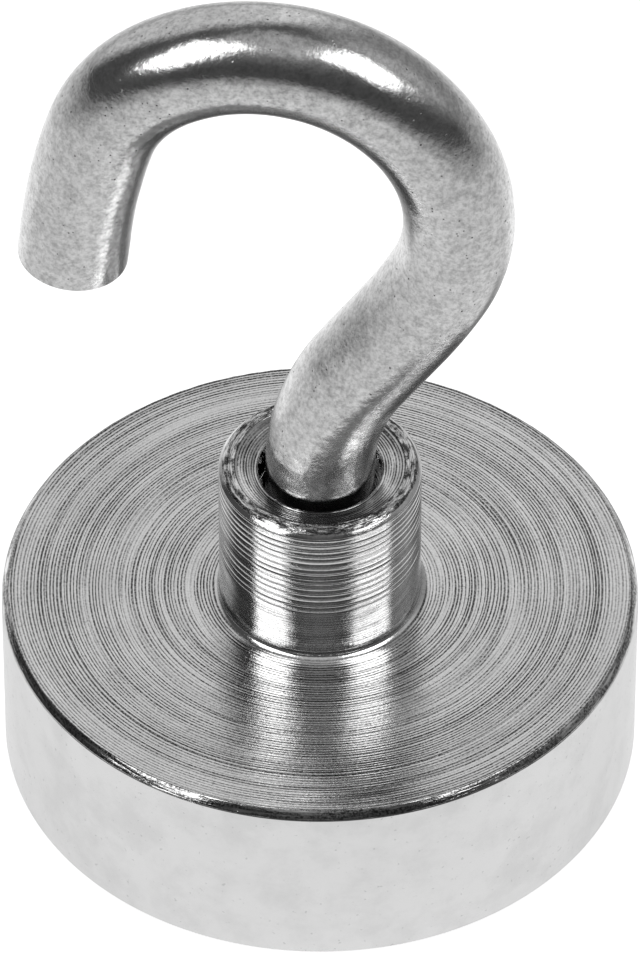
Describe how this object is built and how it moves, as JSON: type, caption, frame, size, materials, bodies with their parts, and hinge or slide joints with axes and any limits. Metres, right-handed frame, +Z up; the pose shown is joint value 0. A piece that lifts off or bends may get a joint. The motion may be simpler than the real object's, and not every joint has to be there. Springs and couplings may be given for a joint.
{
  "type": "hook pot magnet",
  "caption": "Round steel pot magnet with a flat magnetic face, a threaded boss on top and a screw-in open hook of round wire.",
  "frame": {"origin": "centre of the magnet face, in the plane of the pot's rim", "axes": "+Z up the boss and the shank, away from the magnet face; the hook lies in the XZ plane with its open leg on the -X side"},
  "size_m": [0.025, 0.025, 0.0378],
  "materials": {
    "turned_nickel": "fine concentric turning marks under bright nickel plate",
    "magnet_nickel": "bright nickel plate",
    "adhesive": "cured adhesive",
    "potting_resin": "cured resin, slightly uneven",
    "wire_nickel": "tumbled, finely pitted satin nickel plate",
    "thread_nickel": "rolled thread under nickel plate"
  },
  "bodies": {
    "pot": {"steel_pot": "turned_nickel", "magnet_disc": "magnet_nickel", "adhesive_film": "adhesive", "resin_ring": "potting_resin"},
    "thread": {"shank_thread": "thread_nickel"},
    "hook": {"hook": "wire_nickel"}
  },
  "joints": [
    {"name": "hook_advance", "type": "slide", "parent": "pot", "child": "thread", "axis": [0, 0, 1], "range_m": [0, 0.0054]},
    {"name": "hook_turn", "type": "hinge", "parent": "thread", "child": "hook", "pos_m": [0, 0, 0.0146], "axis": [0, 0, 1], "range_deg": [0, 2430]}
  ],
  "couplings": [
    {"joint": "hook_turn", "follows": "hook_advance", "rad_per_m": 7854}
  ]
}
